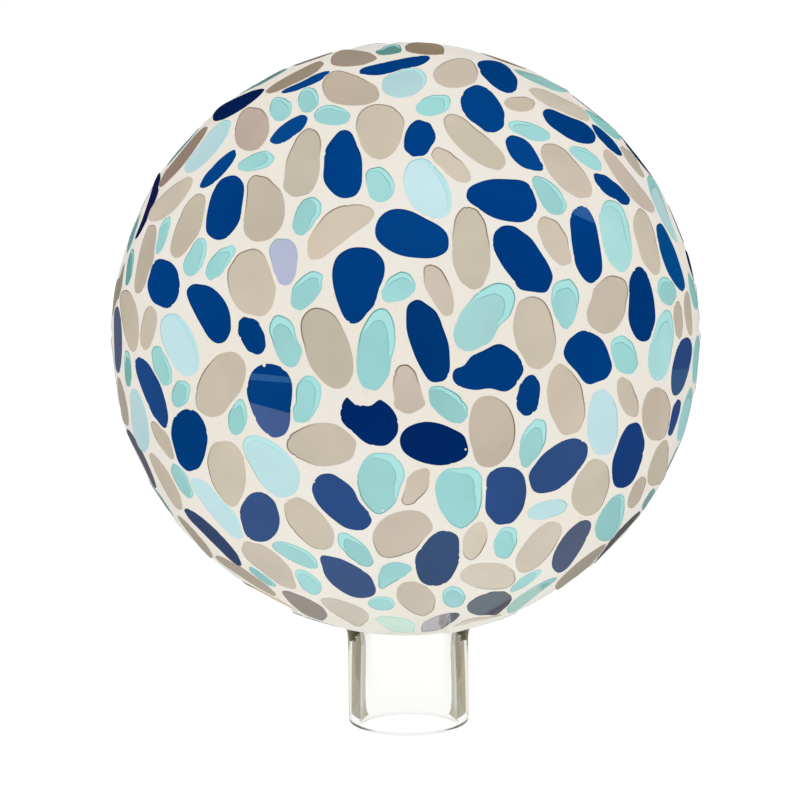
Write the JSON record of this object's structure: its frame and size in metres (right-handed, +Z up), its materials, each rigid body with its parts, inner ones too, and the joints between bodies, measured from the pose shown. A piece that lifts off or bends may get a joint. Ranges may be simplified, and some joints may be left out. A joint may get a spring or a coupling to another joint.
{
  "type": "mosaic gazing globe",
  "caption": "Hollow glass garden globe on its own open neck, its ball covered in flat pebble-shaped glass tiles set in pale grout.",
  "frame": {"origin": "centre of the neck's rim, where the globe stands", "axes": "+Z up through the neck and the ball's centre; the side in the picture faces -Y"},
  "size_m": [0.2541, 0.2539, 0.2982],
  "materials": {
    "clear_glass": "clear, blown and fire polished",
    "grout": "matte cream sanded grout",
    "navy_tile": "glossy, opaque",
    "taupe_tile": "glossy, opaque",
    "aqua_tile": "glossy, milky",
    "pale_tile": "glossy, milky"
  },
  "bodies": {
    "root": {"aqua_tile_01": "aqua_tile", "aqua_tile_02": "aqua_tile", "aqua_tile_03": "aqua_tile", "aqua_tile_04": "aqua_tile", "aqua_tile_05": "aqua_tile", "glass_globe": "clear_glass", "grout": "grout", "navy_tile_01": "navy_tile", "navy_tile_02": "navy_tile", "navy_tile_03": "navy_tile", "navy_tile_04": "navy_tile", "navy_tile_05": "navy_tile", "navy_tile_06": "navy_tile", "navy_tile_07": "navy_tile", "navy_tile_08": "navy_tile", "navy_tile_09": "navy_tile", "navy_tile_10": "navy_tile", "navy_tile_11": "navy_tile", "navy_tile_12": "navy_tile", "navy_tile_13": "navy_tile", "navy_tile_14": "navy_tile", "navy_tile_15": "navy_tile", "navy_tile_16": "navy_tile", "navy_tile_17": "navy_tile", "navy_tile_18": "navy_tile", "navy_tile_19": "navy_tile", "navy_tile_20": "navy_tile", "navy_tile_21": "navy_tile", "navy_tile_22": "navy_tile", "navy_tile_23": "navy_tile", "navy_tile_24": "navy_tile", "pale_tile_01": "pale_tile", "pale_tile_02": "pale_tile", "pale_tile_03": "pale_tile", "taupe_tile_01": "taupe_tile", "taupe_tile_02": "taupe_tile", "taupe_tile_03": "taupe_tile", "taupe_tile_04": "taupe_tile", "taupe_tile_05": "taupe_tile", "taupe_tile_06": "taupe_tile", "taupe_tile_07": "taupe_tile", "taupe_tile_08": "taupe_tile", "taupe_tile_09": "taupe_tile", "taupe_tile_10": "taupe_tile", "taupe_tile_11": "taupe_tile", "taupe_tile_12": "taupe_tile", "taupe_tile_13": "taupe_tile", "taupe_tile_14": "taupe_tile", "taupe_tile_15": "taupe_tile", "taupe_tile_16": "taupe_tile", "taupe_tile_17": "taupe_tile", "taupe_tile_18": "taupe_tile", "taupe_tile_19": "taupe_tile", "taupe_tile_20": "taupe_tile", "taupe_tile_21": "taupe_tile", "taupe_tile_22": "taupe_tile", "taupe_tile_23": "taupe_tile", "taupe_tile_24": "taupe_tile"}
  },
  "joints": []
}
